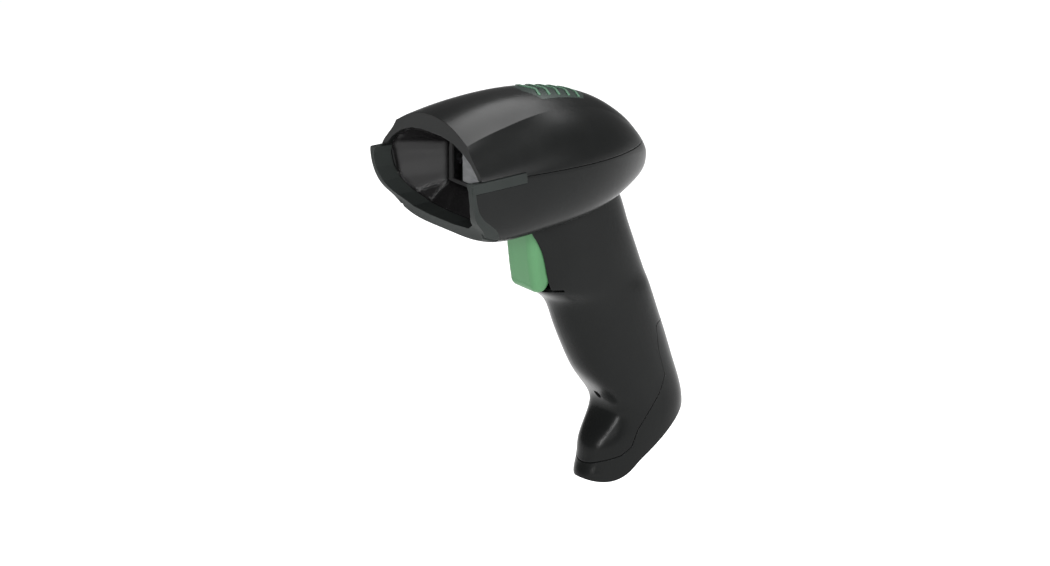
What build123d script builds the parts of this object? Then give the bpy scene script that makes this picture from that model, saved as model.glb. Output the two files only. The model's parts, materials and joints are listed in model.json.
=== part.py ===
from build123d import *
import os
from math import atan2, cos, hypot, pi, radians, sin

# Handheld barcode scanner: a pistol grip under a long head, millimetres, +Z up.
# The shapes are laid out in the head's own axes: the nose points along -Y, X = 0 is the plane of
# symmetry, Y = 0 is the front of the nose bumper and Z = 0 the height of its shoulders.
# Everything is then moved so that the origin lies at the middle of the hand grip.

GRIP_CENTRE = (0, 91, -75)

# Head
HEAD_HALF_WIDTH = 32.0
HEAD_MID_Y = 52.0
HEAD_MID_Z = -3.0
HEAD_HALF_HEIGHT = 24.0
WALL = 2.2
SEAM = 0.32
RIM_Y = 5.4
CREASE_SHARP_Y = 12.0
CREASE_FADE = 45.0
PARTING_TILT = 3.6
SPLIT_RISE = 0.4

# Nose bumper: lip depth along Y, depth of its lining inside the mouth, and its side arms
LINING_DEPTH = 8.2
LINING_WALL = 0.9
WEB = 1.6
ARM_END_Y = 26.0
ARM_TOP = -0.1
ARM_LOW = -3.8
ARM_PROUD = 0.5
ARM_RECESS = 1.3
ARM_GAP = 0.25

# Window funnel
SHIELD_DEPTH = 8.4
SHIELD_WALL = 1.5
FLANGE = 1.5
PANEL_Y = 25.0
OPTIC_Z = -4.6
PANE_HALF_WIDTH = 15.4
PANE_TOP = 4.2
PANE_LOW = -15.6
VIEW_HALF_WIDTH = 13.0
VIEW_TOP = 0.8
VIEW_LOW = -13.0
GASKET_THICK = 0.8
PANE_THICK = 1.4

# Imager
CHASSIS_HALF = 14.5
CHASSIS_FRONT = PANEL_Y + GASKET_THICK + PANE_THICK
CHASSIS_BACK = 44.0
CHASSIS_TOP = 7.0
CHASSIS_LOW = -14.5
LAMP_BACK = 35.0
LENS_X = -2.6
BARREL_R = 4.2
LENS_R = 3.2
LENS_DOME_R = 7.0
LED_X = 9.8
LED_R = 2.2
AIMER_X = 4.2
AIMER_R = 1.4
SENSOR_HALF = 3.0
SENSOR_THICK = 1.0
SENSOR_BOARD_THICK = 1.2

# Main board
BOARD_TOP = -8.0
BOARD_THICK = 1.4
BOARD_FRONT = 47.0
PILLARS = [(-18.0, 52.0), (18.0, 52.0), (-9.0, 85.0), (9.0, 85.0)]
PILLAR_R = 2.6
SCREW_CORE_R = 0.9
SCREW_HEAD_R = 1.7
FLEX_HALF = 4.0
FLEX_THICK = 0.3

# Cover
COVER_SCREW_X = 20.0
COVER_SCREW_Y = 34.0
COVER_SCREW_R = 1.1
COVER_SCREW_HEAD_R = 2.1
COVER_SCREW_SEAT = -22.5
INLAY_DEPTH = 1.4
WAVE_PITCH = 4.8
WAVE_FIRST_Y = 51.5
WAVE_COUNT = 5
WAVE_HALF_SPAN = 8.4
WAVE_HALF_WIDTH = 0.5
WAVE_HEIGHT = 0.9
WAVE_PROUD = 0.35
SOUND_HOLES = [(-3.0, 53.9), (3.0, 53.9), (-3.0, 63.5), (3.0, 63.5)]
SOUND_HOLE_R = 0.6
UI_BOARD_Z = 9.0
UI_BOARD_THICK = 1.2
PIPE_Y = WAVE_FIRST_Y - 3.0
PIPE_R = 1.6
BEEPER_Y = 58.7
BEEPER_R = 6.5
BEEPER_TALL = 5.0

# Grip
LEAN = 22.4
NECK_SCREW_Z = -113.0
NECK_SCREW_SEAT = 92.6

# Trigger
TRIGGER_HALF = 8.9
TRIGGER_SIDE_GAP = 0.45
TRIGGER_ROOF = -29.8
TRIGGER_ROUND = 3.6
PIVOT_Y = 50.0
PIVOT_Z = -21.0
PIN_R = 1.5
PIN_GAP = 0.06
YOKE_HALF = 7.6
EAR_IN = 8.1
EAR_OUT = 10.8
SPRING_R = 2.5
SPRING_WIRE_R = 0.35
SPRING_PITCH = 1.3
SPRING_HALF = 3.25
PLUNGER_Z = -45.0
PLUNGER_R = 1.3
PLUNGER_FRONT = 61.5
SWITCH_FRONT = 67.0
SWITCH_BACK = 74.0

# Battery
CELL_R = 9.1
CELL_LENGTH = 49.0
CELL_MID_Z = -78.0
CRADLE_WALL = 1.4
TERMINAL_THICK = 0.6

# Battery door
LATCH_HALF = 7.2
LATCH_TOP = -111.5
LATCH_LOW = -123.5
CONTACT_R = 1.6
CONTACT_Y = 110.0
CONTACT_LENGTH = 3.4
CONTACT_XS = (-6.0, -2.0, 2.0, 6.0)

# Vibration motor
MOTOR_Y = 75.5
MOTOR_Z = -15.5
MOTOR_R = 3.5
MOTOR_SHAFT_R = 0.6
WEIGHT_R = 3.0

# Head stations: y, top z, crease x and z, widest x and z, lower corner x and z, belly z
HEAD_STATIONS = [
    (0.0, 17.6, 22.8, 10.6, 32.0, -1.5, 25.0, -21.2, -23.6),
    (6.2, 19.0, 22.3, 11.9, 32.0, -1.5, 25.2, -22.4, -25.2),
    (14.5, 20.6, 21.2, 13.5, 32.0, -1.8, 25.2, -26.1, -28.4),
    (27.0, 22.0, 19.4, 15.1, 31.8, -2.5, 25.0, -27.6, -29.8),
    (41.0, 22.3, 17.4, 16.3, 31.2, -3.5, 24.0, -27.4, -29.4),
    (55.0, 21.2, 15.4, 16.0, 29.8, -4.5, 22.6, -27.0, -28.8),
    (69.0, 18.3, 13.2, 13.8, 27.0, -5.2, 20.2, -26.0, -27.6),
    (81.0, 13.8, 11.2, 9.8, 23.0, -6.2, 17.2, -24.2, -25.8),
    (91.0, 7.6, 9.4, 4.2, 18.2, -7.8, 13.6, -22.0, -23.4),
    (98.5, 1.0, 7.8, -1.6, 13.6, -9.6, 10.4, -20.0, -21.2),
    (102.5, -4.2, 6.6, -6.0, 10.4, -11.2, 8.2, -18.4, -19.6),
    (105.0, -8.6, 5.2, -9.6, 7.4, -12.8, 6.0, -16.8, -17.6),
]

# Front of the lower jaw seen from the side, from above the shoulder to below the chin: (y, z)
BOW_LINE = [
    (0.0, 30.0), (0.0, 0.0), (0.4, -5.0), (1.8, -11.0), (4.6, -16.4), (8.4, -20.6),
    (10.6, -24.4), (12.4, -29.0), (13.2, -36.0),
]
# Back of the bumper's lip on the outside of the jaw
LIP_LINE = [
    (1.8, 30.0), (1.8, 0.0), (2.4, -5.0), (4.2, -11.0), (8.6, -16.4), (13.6, -20.6),
    (16.4, -24.4), (18.0, -29.0), (19.0, -36.0),
]

# Window mouth, (x, z) of one half from the top to the chin, and the window panel likewise
MOUTH_HALF = [
    (6.0, 12.0), (13.0, 11.0), (19.0, 8.6), (24.6, 5.0), (28.6, 0.8), (30.0, -3.0), (29.6, -8.4),
    (27.6, -13.6), (23.6, -18.8), (17.5, -22.2), (7.0, -23.2),
]
PANEL_HALF = [
    (5.0, 3.2), (9.0, 3.0), (12.6, 2.4), (14.6, 1.2), (15.0, -1.0), (15.0, -4.0), (15.0, -7.4),
    (15.0, -10.8), (15.0, -14.2), (10.0, -14.4), (5.0, -14.4),
]
MOUTH_CENTRE_Z = -5.0

# Grip stations: z, front y, back y, half width, fullness of the front corners
GRIP_STATIONS = [
    (-10.0, 44.0, 88.0, 14.0, 0.72),
    (-28.0, 41.2, 94.6, 15.5, 0.72),
    (-37.0, 45.4, 97.8, 15.6, 0.74),
    (-46.0, 49.8, 101.2, 15.6, 0.76),
    (-55.0, 51.8, 104.8, 15.6, 0.76),
    (-61.0, 54.6, 107.2, 15.6, 0.72),
    (-66.0, 60.6, 109.4, 15.6, 0.62),
    (-77.0, 66.4, 113.6, 15.6, 0.60),
    (-90.0, 71.8, 118.6, 15.4, 0.60),
    (-102.0, 78.6, 122.8, 15.2, 0.68),
    (-111.0, 86.2, 125.9, 15.0, 0.82),
    (-118.0, 89.6, 127.6, 15.0, 0.80),
    (-125.0, 86.0, 128.2, 15.2, 0.68),
    (-133.0, 80.9, 128.2, 15.2, 0.60),
    (-141.0, 79.6, 128.2, 14.8, 0.60),
    (-150.0, 82.0, 128.2, 14.0, 0.60),
]

# Underside of the foot, toe to heel: a curved toe, then the flat that stands in a cradle
TOE_LINE = [(60.0, -137.4), (75.0, -145.2), (84.5, -147.6), (93.4, -144.6), (100.0, -138.9)]
TOE_START = (13.0, -5.6)
HEEL_POINT = (127.0, -119.9)

# Edge of the battery door on the side of the grip, top to toe
DOOR_LINE = [
    (106.8, -83.5), (107.4, -94.0), (110.8, -105.8), (107.4, -113.6), (97.6, -126.6),
    (94.6, -133.6), (90.6, -136.6), (83.6, -138.8), (79.6, -140.6), (70.0, -144.5),
]
DOOR_ROUND = 1.6

# Well behind the trigger, side view: floor from front to back, then up (y, z)
WELL_LINE = [
    (38.0, -61.8), (51.5, -61.8), (56.5, -60.4), (60.8, -56.8), (63.6, -51.6), (64.5, -46.0),
    (64.5, -28.9), (38.0, -28.9),
]


def block(x0, x1, y0, y1, z0, z1):
    """Box between two corners."""
    middle = Pos((x0 + x1) / 2, (y0 + y1) / 2, (z0 + z1) / 2)
    return middle * Box(x1 - x0, y1 - y0, z1 - z0)


def rod_x(x0, x1, y, z, r):
    """Cylinder along X."""
    return Pos((x0 + x1) / 2, y, z) * Rot(0, 90, 0) * Cylinder(r, x1 - x0)


def rod_y(x, y0, y1, z, r):
    """Cylinder along Y."""
    return Pos(x, (y0 + y1) / 2, z) * Rot(90, 0, 0) * Cylinder(r, y1 - y0)


def rod_z(x, y, z0, z1, r):
    """Cylinder along Z."""
    return Pos(x, y, (z0 + z1) / 2) * Cylinder(r, z1 - z0)


def side_band(side, x_near, x_far, y0, y1, z0, z1):
    """Box on one side of the plane of symmetry, between two distances from it."""
    x0, x1 = sorted((side * x_near, side * x_far))
    return block(x0, x1, y0, y1, z0, z1)


def along_grip(z):
    """Location on the grip's centre line at height z, its local -Z running down the grip."""
    y = 77.6 + (-46.0 - z) * 23.1 / 56.0
    return Pos(0, y, z) * Rot(LEAN, 0, 0)


def closed_face(corners):
    """Flat face inside straight lines through the corners."""
    return Face(Wire(Polyline(*corners, close=True).edges()))


def head_half(station, side):
    """Four edges of one half of a head section, from the top centre to the belly."""
    y, top, xc, zc, xw, zw, xl, zl, belly = station

    def at(x, z):
        return Vector(side * x, y, z)

    soft = min(1.0, max(0.0, (y - CREASE_SHARP_Y) / CREASE_FADE))
    out = 0.60 * (xw - xl)
    fall = 0.09 * (zw - zl)
    reach = 0.24 * xl / hypot(out, fall)
    arch_end = zc + (0.30 + 0.12 * soft) * (top - zc)
    arch = Bezier(at(0, top), at(0.55 * xc, top), at(0.80 * xc, arch_end), at(xc, zc))
    flank = Bezier(
        at(xc, zc),
        at(xc + (0.30 + 0.12 * soft) * (xw - xc), zc - (0.42 - 0.24 * soft) * (zc - zw)),
        at(xw, zw + (0.30 + 0.10 * soft) * (zc - zw)),
        at(xw, zw),
    )
    cheek = Bezier(
        at(xw, zw),
        at(xw, zw - 0.55 * (zw - zl)),
        at(xl + out, zl + fall),
        at(xl, zl),
    )
    keel = Bezier(
        at(xl, zl),
        at(xl - out * reach, zl - fall * reach),
        at(0.45 * xl, belly),
        at(0, belly),
    )
    return [arch, flank, cheek, keel]


def head_skin(inset=0.0, widen=0.0):
    """Outer form of the head, or the same form drawn in by a wall's thickness."""
    along = 1 - inset / HEAD_MID_Y
    across = 1 + (widen - inset) / HEAD_HALF_WIDTH
    tall = 1 - inset / HEAD_HALF_HEIGHT
    sections = []
    for y, top, xc, zc, xw, zw, xl, zl, belly in HEAD_STATIONS:
        top, zc, zw, zl, belly = [HEAD_MID_Z + (z - HEAD_MID_Z) * tall for z in (top, zc, zw, zl, belly)]
        y = HEAD_MID_Y + (y - HEAD_MID_Y) * along
        station = (y, top, across * xc, zc, across * xw, zw, across * xl, zl, belly)
        edges = head_half(station, 1) + head_half(station, -1)[::-1]
        sections.append(Face(Wire(edges)))
    return loft(sections)


def grip_section(z, front, back, half, full_front, widest=0.55, full_back=0.60):
    """Egg-shaped level section of the grip."""
    middle = front + (back - front) * widest
    ahead = (middle - front) * full_front
    behind = (back - middle) * full_back

    def corner(*points):
        return Bezier(*[Vector(x, y, z) for x, y in points])

    near = half * full_front
    far = half * full_back
    return Face(Wire([
        corner((0, front), (near, front), (half, middle - ahead), (half, middle)),
        corner((half, middle), (half, middle + behind), (far, back), (0, back)),
        corner((0, back), (-far, back), (-half, middle + behind), (-half, middle)),
        corner((-half, middle), (-half, middle - ahead), (-near, front), (0, front)),
    ]))


def sole_block(lift=0.0):
    """Everything below the underside of the foot, raised by lift along its normal."""
    toe = [Vector(0, y, z) for y, z in TOE_LINE]
    heel = Vector(0, *HEEL_POINT)
    slope = heel - toe[-1]
    curve = Spline(*toe, tangents=[(0, *TOE_START), slope.normalized()])
    far_heel = heel + slope
    floor_back = Vector(0, 160, -180)
    floor_front = Vector(0, TOE_LINE[0][0], -180)
    face = Face(Wire([
        curve,
        Line(toe[-1], far_heel),
        Line(far_heel, floor_back),
        Line(floor_back, floor_front),
        Line(floor_front, toe[0]),
    ]))
    angle = atan2(slope.Z, slope.Y)
    block_below = extrude(face, amount=40, dir=(1, 0, 0), both=True)
    return Pos(0, -lift * sin(angle), lift * cos(angle)) * block_below


def grip_skin(inset=0.0):
    """Outer form of the grip and foot, or the same form drawn in by a wall's thickness."""
    sections = []
    for z, front, back, half, full in GRIP_STATIONS:
        sections.append(grip_section(z, front + 1.1 * inset, back - 1.1 * inset, half - inset, full))
    return loft(sections) - sole_block(inset)


def door_region(gap=0.0):
    """Prism that holds the rear strip, heel and sole; every edge of it faces forwards and up."""
    outline = DOOR_LINE + [(60.0, -146.5), (60.0, -175.0), (150.0, -175.0), (150.0, -83.5)]
    corners = [Vector(0, y, z) for y, z in outline]
    face = Face(Wire(FilletPolyline(*corners, radius=DOOR_ROUND, close=True).edges()))
    return Pos(0, -gap, gap) * extrude(face, amount=40, dir=(1, 0, 0), both=True)


def ahead_of(line, shift=0.0):
    """Everything in front of a side-view line, moved back along Y by shift."""
    straight = Line(Vector(0, *line[0]), Vector(0, *line[1]))
    curve = Spline(*[Vector(0, y, z) for y, z in line[1:]], tangents=[(0, 0, -1), (0, 0.1, -1)])
    low = Vector(0, -30, line[-1][1])
    high = Vector(0, -30, line[0][1])
    closing = [Line(Vector(0, *line[-1]), low), Line(low, high), Line(high, Vector(0, *line[0]))]
    face = Face(Wire([straight, curve] + closing))
    return Pos(0, shift, 0) * extrude(face, amount=45, dir=(1, 0, 0), both=True)


def bow_y(z):
    """How far back the front of the jaw lies at height z."""
    for (y0, z0), (y1, z1) in zip(BOW_LINE, BOW_LINE[1:]):
        if z1 <= z <= z0:
            return y0 + (y1 - y0) * (z0 - z) / (z0 - z1)
    return 0.0


def ring(half_points, grow, y=None, shift=0.0):
    """Closed ring of points from one half of a window outline; without y it follows the jaw."""
    points = []
    for side in (1, -1):
        ordered = half_points if side > 0 else half_points[::-1]
        for x, z in ordered:
            length = hypot(x, z - MOUTH_CENTRE_Z)
            gx = x + grow * x / length
            gz = z + grow * (z - MOUTH_CENTRE_Z) / length
            points.append(Vector(side * gx, bow_y(z) + shift if y is None else y, gz))
    return points


def funnel(grow=0.0):
    """Window mouth and taper as one solid, from ahead of the nose back to the window panel."""
    rings = [
        ring(MOUTH_HALF, grow, y=-10.0),
        ring(MOUTH_HALF, grow, shift=SHIELD_DEPTH),
        ring(PANEL_HALF, grow, y=PANEL_Y),
    ]
    faces = [closed_face(rings[0]), closed_face(rings[-1])]
    count = len(rings[0])
    for near, far in zip(rings, rings[1:]):
        for i in range(count):
            j = (i + 1) % count
            faces.append(closed_face([near[i], near[j], far[j]]))
            faces.append(closed_face([near[i], far[j], far[i]]))
    return Solid(Shell(faces))


# Shared forms
head = head_skin()
grip = grip_skin()
hollow = head_skin(WALL) + grip_skin(WALL)
shell = (head + grip) - hollow
parting_slope = radians(PARTING_TILT)
parting_normal = (0, sin(parting_slope), cos(parting_slope))
parting = Plane(origin=(0, 0, SPLIT_RISE), x_dir=(1, 0, 0), z_dir=parting_normal)
above = Location(parting) * Pos(0, 60, 60) * Box(120, 260, 120)
below = Location(parting) * Pos(0, 60, -100 - SEAM) * Box(120, 300, 200)
ahead_of_rim = block(-50, 50, -20, RIM_Y, -60, 60)
ahead_of_bow = ahead_of(BOW_LINE)
ahead_of_lip = ahead_of(LIP_LINE)
ahead_of_lining = ahead_of(BOW_LINE, LINING_DEPTH)
mouth = funnel()
mouth_lining = funnel(LINING_WALL)

# Skins at the depths that the trims and recesses need
trim_floor = head_skin(INLAY_DEPTH)
arm_floor = head_skin(ARM_RECESS)
arm_face = head_skin(0.0, widen=ARM_PROUD)
flange_edge = head_skin(WALL + 0.3)


def arm_bands(gap=0.0):
    """Bands on both flanks where the arms of the nose bumper lie."""
    bands = [
        side_band(side, 26.0, 35.0, 0.6, ARM_END_Y + gap, ARM_LOW - gap, ARM_TOP + gap)
        for side in (-1, 1)
    ]
    return bands[0] + bands[1]


# Nose bumper: the lip of the lower jaw, its lining inside the mouth and an arm along each flank
def make_nose_bumper():
    jaw = (head & below) - ahead_of_bow - mouth
    lip = jaw & ahead_of_lip
    lining = jaw & mouth_lining & ahead_of_lining
    arms = ((arm_face - arm_floor) & arm_bands()) - mouth
    bumper = lip + lining + arms
    skin = head_skin(0.8)
    for side in (-1, 1):
        bumper -= side_band(side, 25.2, 26.4, 4.0, 22.0, -30.0, -18.0) - skin
    return bumper


# Green pattern on the top: waves of light pipe in a dark inlay


def wave_prism(y, grow=0.0):
    """One wavy band across the top, standing right through the cover."""
    span = WAVE_HALF_SPAN + grow
    steps = 6
    rows = []
    for offset_y in (-WAVE_HALF_WIDTH - grow, WAVE_HALF_WIDTH + grow):
        points = []
        for i in range(steps + 1):
            x = -span + 2 * span * i / steps
            points.append(Vector(x, y + offset_y + WAVE_HEIGHT * sin(3 * pi * x / (2 * span)), 0))
        rows.append(points)
    lower = Spline(*rows[0])
    upper = Spline(*rows[1][::-1])
    closing = [Line(rows[0][-1], rows[1][-1]), Line(rows[1][0], rows[0][0])]
    return extrude(Face(Wire([lower, closing[0], upper, closing[1]])), amount=40)


def inlay_prism(grow=0.0):
    """Six-sided outline of the dark inlay."""
    half = 11.0 + grow
    y0 = WAVE_FIRST_Y - 5.5 - grow
    y1 = WAVE_FIRST_Y + WAVE_PITCH * (WAVE_COUNT - 1) + 4.0 + grow
    right = [(4, y0), (half, y0 + 4), (half - 2, y1 - 3), (5, y1)]
    corners = right + [(-x, y) for x, y in right[::-1]]
    outline = FilletPolyline(*[Vector(x, y, 0) for x, y in corners], radius=1.5, close=True)
    return extrude(Face(Wire(outline.edges())), amount=40)


waves = [wave_prism(WAVE_FIRST_Y + WAVE_PITCH * i) for i in range(WAVE_COUNT)]


# Top cover with the arch over the window mouth, screw posts, and holes for light and sound
def make_top_cover():
    cover = (shell & above) - ahead_of_rim
    arch = (head & above & block(-50, 50, RIM_Y, LINING_DEPTH, -60, 60)) - mouth
    cover = cover + arch
    cover -= arm_bands(ARM_GAP) - arm_floor
    cover -= inlay_prism() - trim_floor
    for side in (-1, 1):
        x = side * COVER_SCREW_X
        cover += rod_z(x, COVER_SCREW_Y, -1.9, 16.0, 2.8) & head & above
        cover -= rod_z(x, COVER_SCREW_Y, -5.0, 8.0, COVER_SCREW_R)
    cover -= rod_z(0, PIPE_Y, 5.0, 30.0, PIPE_R)
    for x, y in SOUND_HOLES:
        cover -= rod_z(x, y, 10, 30, SOUND_HOLE_R)
    return cover


# Dark inlay, cut through for the waves and the sound holes
def make_sound_grille():
    inlay = (head - trim_floor) & inlay_prism()
    for wave in waves:
        inlay -= wave
    for x, y in SOUND_HOLES:
        inlay -= rod_z(x, y, 10, 30, SOUND_HOLE_R)
    return inlay


# Light-pipe waves, standing a little proud of the inlay
def make_status_waves():
    raised = head_skin(-WAVE_PROUD) - trim_floor
    return Compound([raised & wave for wave in waves])


# Main housing: lower half of the head and the whole grip, one moulding
def make_main_housing():
    housing = (shell & below) - ahead_of_lip
    web = (head & below & ahead_of(LIP_LINE, WEB)) - ahead_of_lip
    housing = (housing + web) - mouth_lining
    housing -= arm_bands(ARM_GAP) - arm_floor
    housing -= door_region(SEAM)
    slot = TRIGGER_HALF + TRIGGER_SIDE_GAP
    well = closed_face([Vector(0, y, z) for y, z in WELL_LINE])
    housing -= extrude(well, amount=slot, dir=(1, 0, 0), both=True)
    housing -= block(-EAR_IN, EAR_IN, 43.5, 58.5, -32, -19)
    for side in (-1, 1):
        ear = side_band(side, EAR_IN, EAR_OUT, PIVOT_Y - 4, PIVOT_Y + 4, -29.0, PIVOT_Z + 3.5)
        housing += ear & head
        housing -= side_band(side, 9.0, 12.2, 50.0, 66.0, -60.2, -59.2)
        x = side * COVER_SCREW_X
        housing += rod_z(x, COVER_SCREW_Y, -40, -2.2, 3.4) & head & below
        housing -= rod_z(x, COVER_SCREW_Y, -40, COVER_SCREW_SEAT, 2.4)
        housing -= rod_z(x, COVER_SCREW_Y, -40, 0, COVER_SCREW_R)
    for x, y in PILLARS:
        housing += rod_z(x, y, -40, BOARD_TOP - BOARD_THICK, PILLAR_R) & head
        housing -= rod_z(x, y, BOARD_TOP - BOARD_THICK - 8, 0, SCREW_CORE_R)
    housing -= rod_x(-12, 12, PIVOT_Y, PIVOT_Z, PIN_R)
    housing += rod_y(0, 80, 95, NECK_SCREW_Z, 3.6) & grip
    housing -= rod_y(0, 75, NECK_SCREW_SEAT, NECK_SCREW_Z, 1.7)
    housing -= rod_y(0, 75, 96, NECK_SCREW_Z, SCREW_CORE_R)
    return housing


# Battery door: rear strip, heel and sole in one piece, with a press latch in the heel
def sole_place(x, y, height=0.0):
    """Location on the flat of the sole, +Z pointing out of it."""
    toe_y, toe_z = TOE_LINE[-1]
    heel_y, heel_z = HEEL_POINT
    rise = (heel_z - toe_z) / (heel_y - toe_y)
    length = hypot(1, rise)
    normal = Vector(0, rise / length, -1 / length)
    point = Vector(x, y, toe_z + (y - toe_y) * rise) + normal * height
    return Location(Plane(origin=point, x_dir=(1, 0, 0), z_dir=normal))


def latch_block(gap=0.0):
    """Space of the press button in the heel."""
    return block(-LATCH_HALF - gap, LATCH_HALF + gap, 112, 140, LATCH_LOW - gap, LATCH_TOP + gap)


def make_battery_door():
    door = (shell & door_region()) - latch_block(SEAM)
    for x in CONTACT_XS:
        door -= sole_place(x, CONTACT_Y) * Cylinder(CONTACT_R, 12)
    return door


# Press button that lets the door go
def make_door_latch():
    stem = block(-3, 3, 122.2, 126.5, -120, -115) & grip
    return (shell & latch_block()) + stem


# Leaf spring across the inside of the heel
def make_latch_spring():
    return block(-20, 20, 120.0, 120.6, -119.8, -114.5) & grip_skin(WALL)


# Round charging contacts in the sole and the small board behind them
def make_charge_contacts():
    seat = -CONTACT_LENGTH / 2
    pin = Cylinder(CONTACT_R, CONTACT_LENGTH)
    return Compound([sole_place(x, CONTACT_Y, seat) * pin for x in CONTACT_XS])


def make_contact_board():
    return sole_place(0, CONTACT_Y, -4.0) * Box(18, 9, 1.2)


# Window: glossy light shield, gasket and pane
def make_light_shield():
    behind_front = flange_edge - ahead_of(BOW_LINE, SHIELD_DEPTH)
    tube = funnel(SHIELD_WALL) & behind_front
    flange = behind_front & ahead_of(BOW_LINE, SHIELD_DEPTH + FLANGE)
    return (tube + flange) - mouth


def pane_block(y0, y1, grow=0.0):
    """Slab the size of the window pane between two stations."""
    half = PANE_HALF_WIDTH + grow
    return block(-half, half, y0, y1, PANE_LOW - grow, PANE_TOP + grow)


def make_window_gasket():
    frame = pane_block(PANEL_Y, PANEL_Y + GASKET_THICK, 1.6)
    return frame - block(-VIEW_HALF_WIDTH, VIEW_HALF_WIDTH, 20, 30, VIEW_LOW, VIEW_TOP)


def make_scan_window():
    return pane_block(PANEL_Y + GASKET_THICK, CHASSIS_FRONT)


# Imager: chassis block, lens in its barrel, lamps, sensor and sensor board
def make_imager_chassis():
    half = CHASSIS_HALF
    chassis = block(-half, half, CHASSIS_FRONT, CHASSIS_BACK, CHASSIS_LOW, CHASSIS_TOP)
    chassis -= rod_y(LENS_X, CHASSIS_FRONT - 1, CHASSIS_BACK + 1, OPTIC_Z, BARREL_R)
    for x in (-LED_X, LED_X):
        chassis -= rod_y(x, CHASSIS_FRONT - 1, LAMP_BACK, OPTIC_Z, LED_R)
    return chassis - rod_y(AIMER_X, CHASSIS_FRONT - 1, LAMP_BACK, OPTIC_Z, AIMER_R)


def make_lens_barrel():
    barrel = rod_y(LENS_X, CHASSIS_FRONT + 0.5, CHASSIS_BACK - 3, OPTIC_Z, BARREL_R)
    return barrel - rod_y(LENS_X, CHASSIS_FRONT - 1, CHASSIS_BACK, OPTIC_Z, LENS_R)


def make_front_lens():
    disc = rod_y(LENS_X, CHASSIS_FRONT + 1.2, CHASSIS_FRONT + 4.2, OPTIC_Z, LENS_R)
    dome = Pos(LENS_X, CHASSIS_FRONT + 1.0 + LENS_DOME_R, OPTIC_Z) * Sphere(LENS_DOME_R)
    return disc & dome


def make_image_sensor():
    y1 = CHASSIS_BACK
    half = SENSOR_HALF
    return block(LENS_X - half, LENS_X + half, y1 - SENSOR_THICK, y1, OPTIC_Z - half, OPTIC_Z + half)


def make_sensor_board():
    return block(-11, 11, CHASSIS_BACK, CHASSIS_BACK + SENSOR_BOARD_THICK, CHASSIS_LOW + 1, CHASSIS_TOP - 1)


def make_flex_cable():
    y0 = CHASSIS_BACK + SENSOR_BOARD_THICK
    top = BOARD_TOP + FLEX_THICK
    drop = block(-FLEX_HALF, FLEX_HALF, y0, y0 + FLEX_THICK, BOARD_TOP - 3, top)
    return drop + block(-FLEX_HALF, FLEX_HALF, y0, BOARD_FRONT + 6, BOARD_TOP, top)


def lamp(x, r):
    """Round-tipped lamp with its tip towards the nose."""
    tip_y = CHASSIS_FRONT + 1.0 + r
    return rod_y(x, tip_y, LAMP_BACK, OPTIC_Z, r) + Pos(x, tip_y, OPTIC_Z) * Sphere(r)


# Main board on its four pillars
def make_main_board():
    right = [(22, BOARD_FRONT), (22, 72), (12, 91)]
    corners = right + [(-x, y) for x, y in right[::-1]]
    outline = closed_face([Vector(x, y, BOARD_TOP - BOARD_THICK) for x, y in corners])
    board = extrude(outline, amount=BOARD_THICK, dir=(0, 0, 1))
    for x, y in PILLARS:
        board -= rod_z(x, y, -20, 0, SCREW_CORE_R)
    return board


def on_board(x0, x1, y0, y1, height):
    """Chip or can standing on the main board."""
    return block(x0, x1, y0, y1, BOARD_TOP, BOARD_TOP + height)


def make_board_screws():
    screws = []
    for x, y in PILLARS:
        cap = rod_z(x, y, BOARD_TOP, BOARD_TOP + 1.0, SCREW_HEAD_R)
        screws.append(cap + rod_z(x, y, BOARD_TOP - 7.4, BOARD_TOP, SCREW_CORE_R))
    return Compound(screws)


def make_cover_screws():
    screws = []
    for side in (-1, 1):
        x = side * COVER_SCREW_X
        cap = rod_z(x, COVER_SCREW_Y, COVER_SCREW_SEAT - 1.9, COVER_SCREW_SEAT, COVER_SCREW_HEAD_R)
        screws.append(cap + rod_z(x, COVER_SCREW_Y, COVER_SCREW_SEAT, 7.5, COVER_SCREW_R))
    return Compound(screws)


def make_neck_screw():
    cap = rod_y(0, NECK_SCREW_SEAT - 1.6, NECK_SCREW_SEAT, NECK_SCREW_Z, 1.6)
    return cap + rod_y(0, NECK_SCREW_SEAT, 96, NECK_SCREW_Z, SCREW_CORE_R)


# Soft seal along the seam inside the head
def make_housing_seal():
    band = head_skin(WALL) - head_skin(WALL + 1.2)
    slab = Location(parting) * Pos(0, 60, -0.15) * Box(120, 260, 2.6)
    seal = band & slab & block(-50, 50, SHIELD_DEPTH + FLANGE + 1.5, 140, -60, 60)
    for side in (-1, 1):
        seal -= rod_z(side * COVER_SCREW_X, COVER_SCREW_Y, -10, 10, 3.6)
    return seal


# Beeper on a small board under the pattern
def make_beeper():
    base = UI_BOARD_Z + UI_BOARD_THICK
    can = rod_z(0, BEEPER_Y, base, base + BEEPER_TALL, BEEPER_R)
    return can - rod_z(0, BEEPER_Y, base + BEEPER_TALL - 1.2, 20, 1.0)


def make_beeper_gasket():
    base = UI_BOARD_Z + UI_BOARD_THICK + BEEPER_TALL
    tube = rod_z(0, BEEPER_Y, base, 30, BEEPER_R) - rod_z(0, BEEPER_Y, 0, 30, BEEPER_R - 1.4)
    return tube & head_skin(WALL)


def make_status_led():
    base = UI_BOARD_Z + UI_BOARD_THICK
    return block(-1.4, 1.4, PIPE_Y - 1.4, PIPE_Y + 1.4, base, base + 1.2)


def make_light_pipe():
    base = UI_BOARD_Z + UI_BOARD_THICK + 1.2
    return rod_z(0, PIPE_Y, base, 30, PIPE_R) & trim_floor


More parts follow.
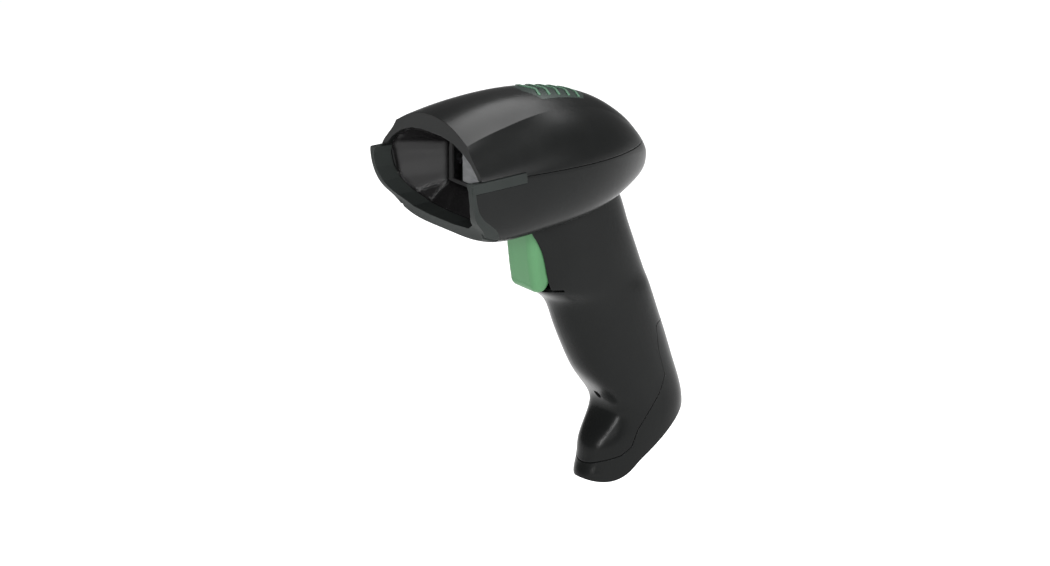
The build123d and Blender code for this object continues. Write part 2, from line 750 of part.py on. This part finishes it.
# Trigger: a blade with a rounded front and a curved lower back, hung from two arms on its pin
def make_trigger():
    front = Spline(
        Vector(0, 45.0, TRIGGER_ROOF), Vector(0, 46.2, -38.0),
        Vector(0, 47.2, -47.0), Vector(0, 48.6, -56.4),
    )
    tip = ThreePointArc(Vector(0, 48.6, -56.4), Vector(0, 49.8, -59.2), Vector(0, 52.4, -60.2))
    lower_back = Spline(
        Vector(0, 52.4, -60.2), Vector(0, 56.2, -57.8), Vector(0, 59.4, -52.8), Vector(0, 61.0, -47.0),
        tangents=[(0, 1, 0), (0, 0.1, 1)],
    )
    back = Line(Vector(0, 61.0, -47.0), Vector(0, 61.0, -32.0))
    shoulder = Line(Vector(0, 61.0, -32.0), Vector(0, 56.0, TRIGGER_ROOF))
    roof = Line(Vector(0, 56.0, TRIGGER_ROOF), Vector(0, 45.0, TRIGGER_ROOF))
    profile = Face(Wire([front, tip, lower_back, back, shoulder, roof]))
    blade = extrude(profile, amount=TRIGGER_HALF, dir=(1, 0, 0), both=True)
    edges = [e for e in blade.edges() if abs(abs(e.center().X) - TRIGGER_HALF) < 0.01]
    edges = [e for e in edges if e.center().Y < 53.5 and e.center().Z < TRIGGER_ROOF - 0.5]
    blade = fillet(edges, TRIGGER_ROUND)
    blade -= block(-6.8, 6.8, 51.0, 62.0, -52.0, -33.0)
    blade += block(-2.6, 2.6, 48.5, 61.0, PLUNGER_Z - 2.6, PLUNGER_Z + 2.6)
    arm = block(-YOKE_HALF, YOKE_HALF, 46.2, 54.6, TRIGGER_ROOF - 1.4, PIVOT_Z)
    arm += rod_x(-YOKE_HALF, YOKE_HALF, PIVOT_Y, PIVOT_Z, 4.6)
    arm -= block(-4.4, 4.4, 40, 60, PIVOT_Z - 6.0, -10)
    return (blade + arm) - rod_x(-12, 12, PIVOT_Y, PIVOT_Z, PIN_R + PIN_GAP)


# Coil of the torsion spring round the pin
def make_trigger_spring():
    coil = Helix(SPRING_PITCH, 2 * SPRING_HALF, SPRING_R)
    path = Location((-SPRING_HALF, PIVOT_Y, PIVOT_Z), (0, 90, 0)) * coil
    section = Plane(origin=path @ 0, z_dir=path % 0) * Circle(SPRING_WIRE_R)
    return sweep(section, path=path)


def make_trigger_switch():
    case = block(-4, 4, SWITCH_FRONT, SWITCH_BACK, PLUNGER_Z - 4, PLUNGER_Z + 4)
    return case - rod_y(0, SWITCH_FRONT - 1, SWITCH_BACK - 0.8, PLUNGER_Z, PLUNGER_R + PIN_GAP)


def make_switch_plunger():
    return rod_y(0, PLUNGER_FRONT, SWITCH_FRONT + 3.6, PLUNGER_Z, PLUNGER_R)


# Battery: cell in a half-round cradle that stands on the neck screw's boss
def make_battery_cell():
    return along_grip(CELL_MID_Z) * Cylinder(CELL_R, CELL_LENGTH)


def make_battery_cradle():
    tray = Cylinder(CELL_R + CRADLE_WALL, CELL_LENGTH) - Cylinder(CELL_R, CELL_LENGTH + 2)
    tray -= Pos(0, 12, 0) * Box(40, 24, CELL_LENGTH + 4)
    return along_grip(CELL_MID_Z) * tray


def make_battery_contacts():
    place = along_grip(CELL_MID_Z)
    plates = []
    for end in (-1, 1):
        offset = end * (CELL_LENGTH + TERMINAL_THICK) / 2
        plates.append(place * Pos(0, 0, offset) * Cylinder(5.5, TERMINAL_THICK))
    return Compound(plates)


# Vibration motor under the main board
def make_motor_weight():
    half = rod_x(5.0, 8.0, MOTOR_Y, MOTOR_Z, WEIGHT_R)
    half -= block(0, 12, MOTOR_Y - 5, MOTOR_Y + 5, MOTOR_Z + 0.5, 0)
    return half + rod_x(2.0, 8.0, MOTOR_Y, MOTOR_Z, MOTOR_SHAFT_R)


def make_motor():
    shaft_hole = rod_x(1.0, 6.0, MOTOR_Y, MOTOR_Z, MOTOR_SHAFT_R + PIN_GAP)
    return rod_x(-8, 4.6, MOTOR_Y, MOTOR_Z, MOTOR_R) - shaft_hole


def make_motor_bracket():
    saddle = block(-6.5, 1.5, MOTOR_Y - 4.6, MOTOR_Y + 4.6, MOTOR_Z, BOARD_TOP - BOARD_THICK)
    return saddle - rod_x(-8, 5, MOTOR_Y, MOTOR_Z, MOTOR_R)


parts = {
    "top_cover": make_top_cover(),
    "main_housing": make_main_housing(),
    "nose_bumper": make_nose_bumper(),
    "sound_grille": make_sound_grille(),
    "status_waves": make_status_waves(),
    "battery_door": make_battery_door(),
    "door_latch": make_door_latch(),
    "latch_spring": make_latch_spring(),
    "charge_contacts": make_charge_contacts(),
    "contact_board": make_contact_board(),
    "light_shield": make_light_shield(),
    "window_gasket": make_window_gasket(),
    "scan_window": make_scan_window(),
    "imager_chassis": make_imager_chassis(),
    "lens_barrel": make_lens_barrel(),
    "front_lens": make_front_lens(),
    "image_sensor": make_image_sensor(),
    "sensor_board": make_sensor_board(),
    "illumination_leds": Compound([lamp(-LED_X, LED_R), lamp(LED_X, LED_R)]),
    "aimer_led": lamp(AIMER_X, AIMER_R),
    "flex_cable": make_flex_cable(),
    "main_board": make_main_board(),
    "processor": on_board(-6, 6, 56, 68, 1.6),
    "memory_chip": on_board(9, 16, 58, 66, 1.0),
    "radio_module": on_board(-7, 7, 74, 84, 2.2),
    "board_screws": make_board_screws(),
    "cover_screws": make_cover_screws(),
    "neck_screw": make_neck_screw(),
    "housing_seal": make_housing_seal(),
    "ui_board": block(-9, 9, 46.5, 68, UI_BOARD_Z, UI_BOARD_Z + UI_BOARD_THICK),
    "status_led": make_status_led(),
    "light_pipe": make_light_pipe(),
    "beeper": make_beeper(),
    "beeper_gasket": make_beeper_gasket(),
    "trigger": make_trigger(),
    "trigger_pin": rod_x(-EAR_OUT, EAR_OUT, PIVOT_Y, PIVOT_Z, PIN_R),
    "trigger_spring": make_trigger_spring(),
    "trigger_switch": make_trigger_switch(),
    "switch_plunger": make_switch_plunger(),
    "switch_board": block(-8, 8, SWITCH_BACK, SWITCH_BACK + 1.2, PLUNGER_Z - 6, PLUNGER_Z + 8),
    "battery_cell": make_battery_cell(),
    "battery_cradle": make_battery_cradle(),
    "battery_contacts": make_battery_contacts(),
    "vibration_motor": make_motor(),
    "motor_weight": make_motor_weight(),
    "motor_bracket": make_motor_bracket(),
}

os.makedirs("parts", exist_ok=True)
to_origin = Pos(*[-c for c in GRIP_CENTRE])
for name, solid in parts.items():
    export_step(to_origin * solid, os.path.join("parts", name + ".step"))
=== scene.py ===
import json
import bmesh
import bpy
from math import cos, pi, radians, sin
from mathutils import Matrix, Vector


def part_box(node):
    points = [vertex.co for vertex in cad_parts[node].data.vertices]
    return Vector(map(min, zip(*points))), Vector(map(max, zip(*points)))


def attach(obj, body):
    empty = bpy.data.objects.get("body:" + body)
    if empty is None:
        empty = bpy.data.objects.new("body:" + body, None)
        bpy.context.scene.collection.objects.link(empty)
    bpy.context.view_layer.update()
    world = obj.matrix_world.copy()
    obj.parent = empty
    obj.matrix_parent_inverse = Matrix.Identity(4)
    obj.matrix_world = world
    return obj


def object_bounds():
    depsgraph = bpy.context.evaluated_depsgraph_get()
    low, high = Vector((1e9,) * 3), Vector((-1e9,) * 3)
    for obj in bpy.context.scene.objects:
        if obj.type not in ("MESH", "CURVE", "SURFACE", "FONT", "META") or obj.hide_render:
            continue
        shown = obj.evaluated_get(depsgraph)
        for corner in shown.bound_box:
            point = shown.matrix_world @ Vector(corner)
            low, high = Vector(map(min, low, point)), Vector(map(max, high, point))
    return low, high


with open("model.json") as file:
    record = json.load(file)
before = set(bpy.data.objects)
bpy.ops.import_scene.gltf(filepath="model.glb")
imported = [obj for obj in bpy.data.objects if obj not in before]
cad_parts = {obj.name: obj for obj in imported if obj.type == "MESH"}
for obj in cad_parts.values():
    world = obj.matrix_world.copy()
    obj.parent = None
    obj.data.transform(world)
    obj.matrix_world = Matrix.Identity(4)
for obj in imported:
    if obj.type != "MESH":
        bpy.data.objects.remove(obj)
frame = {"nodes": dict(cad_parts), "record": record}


def corners_of(bounds):
    """The lowest and highest corners as plain lists of numbers."""
    return [[float(value) for value in corner] for corner in bounds]


cad_box = corners_of(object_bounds())
record = frame["record"]
scene = bpy.context.scene


# Camera: the photographed three-quarter view from the front right, a little above
AZIMUTH = 51.8
ELEVATION = 19.1
ROLL = 0.17
DISTANCE = 1.2235
TARGET = Vector((0.0, -0.041, 0.025))
FOCAL = 107.8
SENSOR_WIDTH = 36.0
SHIFT = (0.0007, -0.0172)


def towards(azimuth, elevation):
    """Unit vector from the object towards an azimuth and elevation in degrees."""
    a, e = radians(azimuth), radians(elevation)
    return Vector((sin(a) * cos(e), -cos(a) * cos(e), sin(e)))


def look_from(obj, direction, distance, target, roll=0.0):
    """Puts an object at a distance from a target, its -Z pointing at it."""
    back = direction.normalized()
    side = Vector((0, 0, 1)).cross(back).normalized()
    up = back.cross(side)
    k = radians(roll)
    x_axis = side * cos(k) + up * sin(k)
    y_axis = up * cos(k) - side * sin(k)
    turn = Matrix((x_axis, y_axis, back)).transposed().to_4x4()
    obj.matrix_world = Matrix.Translation(target + back * distance) @ turn


camera_data = bpy.data.cameras.new("camera")
camera_data.lens = FOCAL
camera_data.sensor_width = SENSOR_WIDTH
camera_data.shift_x, camera_data.shift_y = SHIFT
camera_data.clip_start = 0.01
camera = bpy.data.objects.new("camera", camera_data)
scene.collection.objects.link(camera)
look_from(camera, towards(AZIMUTH, ELEVATION), DISTANCE, TARGET, ROLL)
scene.camera = camera
scene.view_settings.view_transform = "Standard"


# Relief heights in metres
FINE_RELIEF = 0.00002
TRACK_RELIEF = 0.00003
SMEAR_RELIEF = 0.00001

# The plane between the lens's side and the lamps' side of the imager, and its front face's depth
LAMP_SIDE_X = -0.0074
FACE_DEPTH = 0.0004

# Sockets of a colour Mix node
FACTOR, COLOUR_A, COLOUR_B, MIXED = 0, 6, 7, 2


# Node helpers
class Nodes:
    """Short way to build a node material."""

    def __init__(self, name):
        self.material = bpy.data.materials.new(name)
        self.material.use_nodes = True
        self.tree = self.material.node_tree
        self.tree.nodes.clear()
        self.out = self.add("ShaderNodeOutputMaterial")
        self.shader = self.add("ShaderNodeBsdfPrincipled")
        self.join(self.shader, "BSDF", self.out, "Surface")
        self.place = self.add("ShaderNodeTexCoord")

    def add(self, kind, **settings):
        node = self.tree.nodes.new(kind)
        for key, value in settings.items():
            setattr(node, key, value)
        return node

    def join(self, a, a_name, b, b_name):
        self.tree.links.new(a.outputs[a_name], b.inputs[b_name])

    def noise(self, scale, detail=2.0, roughness=0.5, stretch=(1, 1, 1)):
        mapping = self.add("ShaderNodeMapping")
        mapping.inputs["Scale"].default_value = stretch
        self.join(self.place, "Object", mapping, "Vector")
        node = self.add("ShaderNodeTexNoise")
        node.inputs["Scale"].default_value = scale
        node.inputs["Detail"].default_value = detail
        node.inputs["Roughness"].default_value = roughness
        self.join(mapping, "Vector", node, "Vector")
        return node

    def ramp(self, source, output, stops):
        node = self.add("ShaderNodeValToRGB")
        elements = node.color_ramp.elements
        elements[0].position, elements[0].color = stops[0][0], stops[0][1]
        elements[1].position, elements[1].color = stops[-1][0], stops[-1][1]
        for position, colour in stops[1:-1]:
            elements.new(position).color = colour
        self.join(source, output, node, "Fac")
        return node

    def span(self, source, output, low, high):
        """Maps 0..1 to low..high."""
        node = self.add("ShaderNodeMapRange")
        node.inputs["To Min"].default_value = low
        node.inputs["To Max"].default_value = high
        self.join(source, output, node, "Value")
        return node

    def rubbed_edges(self, rounded, scuff, ramp, bare):
        """Colour that turns lighter where a rounded normal leaves the face's own, in patches."""
        geometry = self.add("ShaderNodeNewGeometry")
        turn = self.add("ShaderNodeVectorMath", operation="DOT_PRODUCT")
        self.tree.links.new(rounded.outputs["Normal"], turn.inputs[0])
        self.tree.links.new(geometry.outputs["Normal"], turn.inputs[1])
        sharp = self.add("ShaderNodeMapRange")
        sharp.inputs["From Min"].default_value = 0.99
        sharp.inputs["From Max"].default_value = 0.80
        self.join(turn, "Value", sharp, "Value")
        patchy = self.add("ShaderNodeMath", operation="MULTIPLY")
        self.tree.links.new(sharp.outputs["Result"], patchy.inputs[0])
        self.tree.links.new(scuff.outputs["Fac"], patchy.inputs[1])
        mix = self.add("ShaderNodeMix", data_type="RGBA")
        self.tree.links.new(patchy.outputs["Value"], mix.inputs[FACTOR])
        self.tree.links.new(ramp.outputs["Color"], mix.inputs[COLOUR_A])
        mix.inputs[COLOUR_B].default_value = bare
        return mix

    def beyond(self, axis, letter, operation, limit):
        """1 on one side of a plane across an object axis, 0 on the other."""
        node = self.add("ShaderNodeMath", operation=operation)
        node.inputs[1].default_value = limit
        self.tree.links.new(axis.outputs[letter], node.inputs[0])
        return node

    def blend(self, factor, plain, ramp):
        """Sets the plain colour where the factor is 0 and the ramp's where it is 1."""
        mix = self.add("ShaderNodeMix", data_type="RGBA")
        self.tree.links.new(factor.outputs["Value"], mix.inputs[FACTOR])
        mix.inputs[COLOUR_A].default_value = plain
        self.tree.links.new(ramp.outputs["Color"], mix.inputs[COLOUR_B])
        self.tree.links.new(mix.outputs[MIXED], self.shader.inputs["Base Color"])

    def bump(self, source, output, strength, distance, under=None):
        node = self.add("ShaderNodeBump")
        node.inputs["Strength"].default_value = strength
        node.inputs["Distance"].default_value = distance
        self.join(source, output, node, "Height")
        if under is not None:
            self.join(under, "Normal", node, "Normal")
        return node


def grey(value):
    return (value, value, value, 1.0)


def shade(colour, factor):
    return tuple(min(1.0, c * factor) for c in colour[:3]) + (1.0,)


def moulded(name, colour, rough, specular=0.3, grain=0.5, variation=0.12, edge=0.0, wear=2.2):
    """Moulded plastic or rubber: spark-eroded grain, slight colour and gloss variation."""
    n = Nodes(name)
    broad = n.noise(45.0, 3.0)
    darker, lighter = shade(colour, 1 - variation), shade(colour, 1 + variation)
    ramp = n.ramp(broad, "Fac", [(0.3, darker), (0.7, lighter)])
    scuff = n.noise(160.0, 4.0, 0.6)
    n.join(n.span(scuff, "Fac", rough - 0.05, rough + 0.05), "Result", n.shader, "Roughness")
    under = None
    if edge:
        under = n.add("ShaderNodeBevel", samples=4)
        under.inputs["Radius"].default_value = edge
        worn = n.rubbed_edges(under, scuff, ramp, shade(colour, wear))
        n.tree.links.new(worn.outputs[MIXED], n.shader.inputs["Base Color"])
    else:
        n.join(ramp, "Color", n.shader, "Base Color")
    fine = n.noise(5200.0, 2.0, 0.6)
    n.join(n.bump(fine, "Fac", grain, FINE_RELIEF, under), "Normal", n.shader, "Normal")
    n.shader.inputs["Specular IOR Level"].default_value = specular
    return n.material


def metal(name, colour, rough, stretch=(1, 1, 1)):
    """Drawn or plated metal with fine directional marks."""
    n = Nodes(name)
    marks = n.noise(900.0, 3.0, 0.6, stretch)
    ramp = n.ramp(marks, "Fac", [(0.25, shade(colour, 0.8)), (0.75, shade(colour, 1.1))])
    n.join(ramp, "Color", n.shader, "Base Color")
    n.join(n.span(marks, "Fac", rough - 0.08, rough + 0.1), "Result", n.shader, "Roughness")
    n.join(n.bump(marks, "Fac", 0.15, FINE_RELIEF), "Normal", n.shader, "Normal")
    n.shader.inputs["Metallic"].default_value = 1.0
    return n.material


def clear(name, colour, rough, transmission, ior=1.5):
    """Clear or tinted moulded plastic and glass with faint smears."""
    n = Nodes(name)
    smear = n.noise(70.0, 3.0, 0.6, (1, 1, 3))
    ramp = n.ramp(smear, "Fac", [(0.3, shade(colour, 0.92)), (0.7, shade(colour, 1.0))])
    n.join(ramp, "Color", n.shader, "Base Color")
    n.join(n.span(smear, "Fac", rough, rough + 0.03), "Result", n.shader, "Roughness")
    n.shader.inputs["Transmission Weight"].default_value = transmission
    n.shader.inputs["IOR"].default_value = ior
    return n.material


def window_material(name, colour):
    """Tinted pane: clear over the lens's side; over the lamps' side rougher, half clear and
    grey, a painted reflection.
    """
    n = Nodes(name)
    axis = n.add("ShaderNodeSeparateXYZ")
    n.join(n.place, "Object", axis, "Vector")
    satin = n.beyond(axis, "X", "GREATER_THAN", LAMP_SIDE_X)
    smear = n.noise(120.0, 3.0, 0.6, (1, 1, 3))
    # Painted reflection: this grey tone over the lamps' side stands in for the bright reflection
    # on the glass there
    painted_reflection = n.ramp(smear, "Fac", [(0.3, (0.19, 0.195, 0.20, 1)), (0.7, (0.27, 0.275, 0.28, 1))])
    n.blend(satin, shade(colour, 1), painted_reflection)
    n.join(n.span(satin, "Value", 1.0, 0.45), "Result", n.shader, "Transmission Weight")
    n.join(n.span(satin, "Value", 0.02, 0.12), "Result", n.shader, "Roughness")
    n.join(n.bump(smear, "Fac", 0.05, SMEAR_RELIEF), "Normal", n.shader, "Normal")
    return n.material


def board(name):
    """Green solder mask, lighter where copper tracks run under it."""
    n = Nodes(name)
    tracks = n.add("ShaderNodeTexVoronoi", feature="DISTANCE_TO_EDGE", distance="MANHATTAN")
    tracks.inputs["Scale"].default_value = 420.0
    n.join(n.place, "Object", tracks, "Vector")
    copper = (0.012, 0.11, 0.045, 1)
    mask = (0.006, 0.055, 0.024, 1)
    green = n.ramp(tracks, "Distance", [(0.0, copper), (0.08, copper), (0.1, mask)])
    n.join(green, "Color", n.shader, "Base Color")
    fine = n.noise(900.0, 2.0)
    n.join(n.span(fine, "Fac", 0.25, 0.4), "Result", n.shader, "Roughness")
    n.join(n.bump(tracks, "Distance", 0.25, TRACK_RELIEF), "Normal", n.shader, "Normal")
    return n.material


def chassis_material(name, colour):
    """Black imager block whose face beside the lens carries a satin reflector."""
    n = Nodes(name)
    axis = n.add("ShaderNodeSeparateXYZ")
    n.join(n.place, "Object", axis, "Vector")
    near = n.beyond(axis, "X", "GREATER_THAN", LAMP_SIDE_X)
    face = n.beyond(axis, "Y", "LESS_THAN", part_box("imager_chassis")[0][1] + FACE_DEPTH)
    mask = n.add("ShaderNodeMath", operation="MULTIPLY")
    n.tree.links.new(near.outputs["Value"], mask.inputs[0])
    n.tree.links.new(face.outputs["Value"], mask.inputs[1])
    grain = n.noise(700.0, 3.0, 0.6, (1, 1, 4))
    satin = n.ramp(grain, "Fac", [(0.3, (0.60, 0.61, 0.63, 1)), (0.7, (0.72, 0.73, 0.75, 1))])
    n.blend(mask, colour, satin)
    n.join(n.span(grain, "Fac", 0.3, 0.45), "Result", n.shader, "Roughness")
    n.join(n.bump(grain, "Fac", 0.2, FINE_RELIEF), "Normal", n.shader, "Normal")
    return n.material


BLACK = (0.0052, 0.0056, 0.0055)
BUMPER_GREY = (0.0180, 0.0205, 0.0195)
SHIELD_BLACK = (0.0050, 0.0048, 0.0050)
TRIGGER_GREEN = (0.050, 0.136, 0.060)
INLAY_GREEN = (0.013, 0.022, 0.018)
WAVE_GREEN = (0.075, 0.15, 0.10)
EDGE = 0.00035
FINE_EDGE = 0.0002
SOFT_EDGE = 0.0025
looks = {
    "cover_black": moulded("cover_black", BLACK, 0.30, 0.14, edge=EDGE),
    "housing_black": moulded("housing_black", BLACK, 0.25, 0.08, edge=EDGE),
    "bumper_grey": moulded("bumper_grey", BUMPER_GREY, 0.55, 0.05, edge=EDGE),
    "shield_black": moulded(
        "shield_black", SHIELD_BLACK, 0.16, 0.22, grain=0.05, edge=SOFT_EDGE, wear=1.0
    ),
    "window_glass": window_material("window_glass", (0.66, 0.66, 0.70)),
    "seal_rubber": moulded("seal_rubber", (0.012, 0.012, 0.012), 0.7, 0.25),
    "trigger_green": moulded("trigger_green", TRIGGER_GREEN, 0.42, 0.18, 0.3, 0.06, edge=EDGE),
    "inlay_green": moulded("inlay_green", INLAY_GREEN, 0.4, 0.26, edge=FINE_EDGE),
    "wave_green": moulded("wave_green", WAVE_GREEN, 0.3, 0.2, 0.15, 0.08, edge=FINE_EDGE),
    "inner_black": moulded("inner_black", (0.016, 0.016, 0.016), 0.5, 0.3),
    "lens_glass": clear("lens_glass", (0.72, 0.70, 0.86), 0.01, 0.95, 1.6),
    "led_clear": clear("led_clear", (0.95, 0.94, 0.86), 0.05, 0.8),
    "aimer_red": moulded("aimer_red", (0.42, 0.02, 0.02), 0.2, 0.5, 0.05),
    "board_green": board("board_green"),
    "chip_black": moulded("chip_black", (0.014, 0.014, 0.015), 0.55, 0.35, 0.8),
    "can_steel": metal("can_steel", (0.62, 0.62, 0.60), 0.3, (1, 6, 1)),
    "flex_amber": moulded("flex_amber", (0.42, 0.19, 0.03), 0.25, 0.5, 0.1),
    "screw_steel": metal("screw_steel", (0.16, 0.16, 0.17), 0.35),
    "spring_steel": metal("spring_steel", (0.6, 0.6, 0.58), 0.25),
    "gold_contact": metal("gold_contact", (0.83, 0.60, 0.24), 0.22),
    "cell_wrap": moulded("cell_wrap", (0.03, 0.10, 0.26), 0.3, 0.5, 0.1),
    "motor_steel": metal("motor_steel", (0.55, 0.55, 0.55), 0.28, (8, 1, 1)),
}
chassis_look = chassis_material("chassis_black", (0.014, 0.014, 0.014, 1))

slot_of = {part["node"]: part["material_slot"] for part in record["subparts"]}
for name, obj in frame["nodes"].items():
    look = chassis_look if name == "imager_chassis" else looks[slot_of[name]]
    obj.data.materials.clear()
    obj.data.materials.append(look)


# Small pieces in mesh code
RING_STEPS = 48


def finish_piece(bm, name, body, slot, smooth=True):
    """Turns a bmesh into an object that rides on a body and takes a slot's look."""
    bmesh.ops.recalc_face_normals(bm, faces=bm.faces)
    mesh = bpy.data.meshes.new(name)
    bm.to_mesh(mesh)
    bm.free()
    piece = bpy.data.objects.new(name, mesh)
    scene.collection.objects.link(piece)
    for polygon in mesh.polygons:
        polygon.use_smooth = smooth
    mesh.materials.append(looks[slot])
    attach(piece, body)


def axes_along(direction):
    """Two unit vectors across a direction."""
    d = direction.normalized()
    side = d.cross(Vector((1, 0, 0)))
    if side.length < 0.3:
        side = d.cross(Vector((0, 0, 1)))
    side.normalize()
    return side, d.cross(side)


def turned(profile, centre, direction, waist=1.0, lobes=0):
    """Closed solid from (radius, height) points along a direction, round or with lobes."""
    bm = bmesh.new()
    side, other = axes_along(direction)
    d = direction.normalized()
    rows = []
    for radius, height in profile:
        row = []
        for i in range(RING_STEPS):
            angle = 2 * pi * i / RING_STEPS
            reach = radius * (waist + (1 - waist) * cos(lobes * angle))
            across = side * cos(angle) + other * sin(angle)
            row.append(bm.verts.new(centre + d * height + across * reach))
        rows.append(row)
    for a, b in zip(rows, rows[1:]):
        for i in range(RING_STEPS):
            j = (i + 1) % RING_STEPS
            bm.faces.new((a[i], a[j], b[j], b[i]))
    bm.faces.new(rows[0])
    bm.faces.new(rows[-1])
    return bm


def painted_recess_shade(name, centre, direction, radius):
    """Six-lobed driver recess as painted shade: a dark star plate set just above a screw's head,
    standing in for the shade inside the recess.
    """
    profile = [(radius, -0.0002), (radius, 0.00006)]
    plate = turned(profile, centre, direction, waist=0.82, lobes=6)
    # Painted shade: the black plate stands in for the shade inside the recess
    finish_piece(plate, name, "housing", "seal_rubber", smooth=False)


neck_low, neck_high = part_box("neck_screw")
neck_centre = Vector((0, neck_low[1], (neck_low[2] + neck_high[2]) / 2))
painted_recess_shade("neck_screw_recess", neck_centre, Vector((0, -1, 0)), 0.0009)
cover_low, cover_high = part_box("cover_screws")
COVER_HEAD_RADIUS = 0.0021
for side, side_name in ((-1, "left"), (1, "right")):
    x = side * (cover_high[0] - COVER_HEAD_RADIUS)
    centre = Vector((x, (cover_low[1] + cover_high[1]) / 2, cover_low[2]))
    painted_recess_shade("cover_screw_recess_" + side_name, centre, Vector((0, 0, -1)), 0.0012)

# Threaded retaining ring in front of the lens
lens_low, lens_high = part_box("front_lens")
lens_x = (lens_low[0] + lens_high[0]) / 2
lens_z = (lens_low[2] + lens_high[2]) / 2
ring_profile = [
    (0.00318, 0.0), (0.00318, 0.0006), (0.0029, 0.00075), (0.0026, 0.0006), (0.0024, 0.0001),
]
ring_centre = Vector((lens_x, lens_low[1] - 0.0001, lens_z))
retainer = turned(ring_profile, ring_centre, Vector((0, -1, 0)))
finish_piece(retainer, "lens_retaining_ring", "housing", "inner_black")


# Studio: pale floor, soft lights
def flat_stage(name, half, z):
    """Square sheet at a height that is scenery, not a piece of the object."""
    bm = bmesh.new()
    bmesh.ops.create_grid(bm, x_segments=2, y_segments=2, size=half)
    for vert in bm.verts:
        vert.co.z = z
    mesh = bpy.data.meshes.new(name)
    bm.to_mesh(mesh)
    bm.free()
    obj = bpy.data.objects.new(name, mesh)
    scene.collection.objects.link(obj)
    return obj


def floor_paper():
    """Matt white paper that glows a little, so that it stays white away from the lamps."""
    n = Nodes("floor_paper")
    paper = n.noise(30.0, 3.0)
    tone = n.ramp(paper, "Fac", [(0.3, grey(0.80)), (0.7, grey(0.82))])
    n.join(tone, "Color", n.shader, "Base Color")
    n.shader.inputs["Roughness"].default_value = 0.9
    n.shader.inputs["Specular IOR Level"].default_value = 0.1
    n.shader.inputs["Emission Color"].default_value = (1, 1, 1, 1)
    n.shader.inputs["Emission Strength"].default_value = 0.55
    return n.material


# The floor lies low enough for the battery door to slide out above it
DOOR_DROP = 0.062
FLOOR_HALF = 12.0
floor = flat_stage("floor", FLOOR_HALF, cad_box[0][2] - DOOR_DROP)
floor.data.materials.append(floor_paper())

world = bpy.data.worlds.new("studio")
scene.world = world
world.use_nodes = True
sky = world.node_tree.nodes["Background"]
sky.inputs["Color"].default_value = (1.0, 1.0, 1.0, 1)
sky.inputs["Strength"].default_value = 0.20


LIGHT_TARGET = Vector((0, -0.02, 0.02))


def softbox(name, direction, distance, size, power):
    """Rectangular lamp in a direction from the target and facing it, unseen by the camera."""
    data = bpy.data.lights.new(name, "AREA")
    data.shape = "RECTANGLE"
    data.size, data.size_y = size
    data.energy = power
    obj = bpy.data.objects.new(name, data)
    scene.collection.objects.link(obj)
    look_from(obj, Vector(direction), distance, LIGHT_TARGET)
    obj.visible_camera = False
    return obj


softbox("overhead", (-0.12, 0.42, 0.90), 0.95, (0.65, 0.6), 9.0)
softbox("flank", (0.84, 0.32, 0.44), 1.0, (0.3, 0.5), 8.0)
softbox("nose", (0.37, -0.89, 0.24), 1.1, (0.07, 0.40), 9.0)
softbox("fill", (0.74, -0.55, 0.42), 1.4, (0.4, 0.4), 12.0)
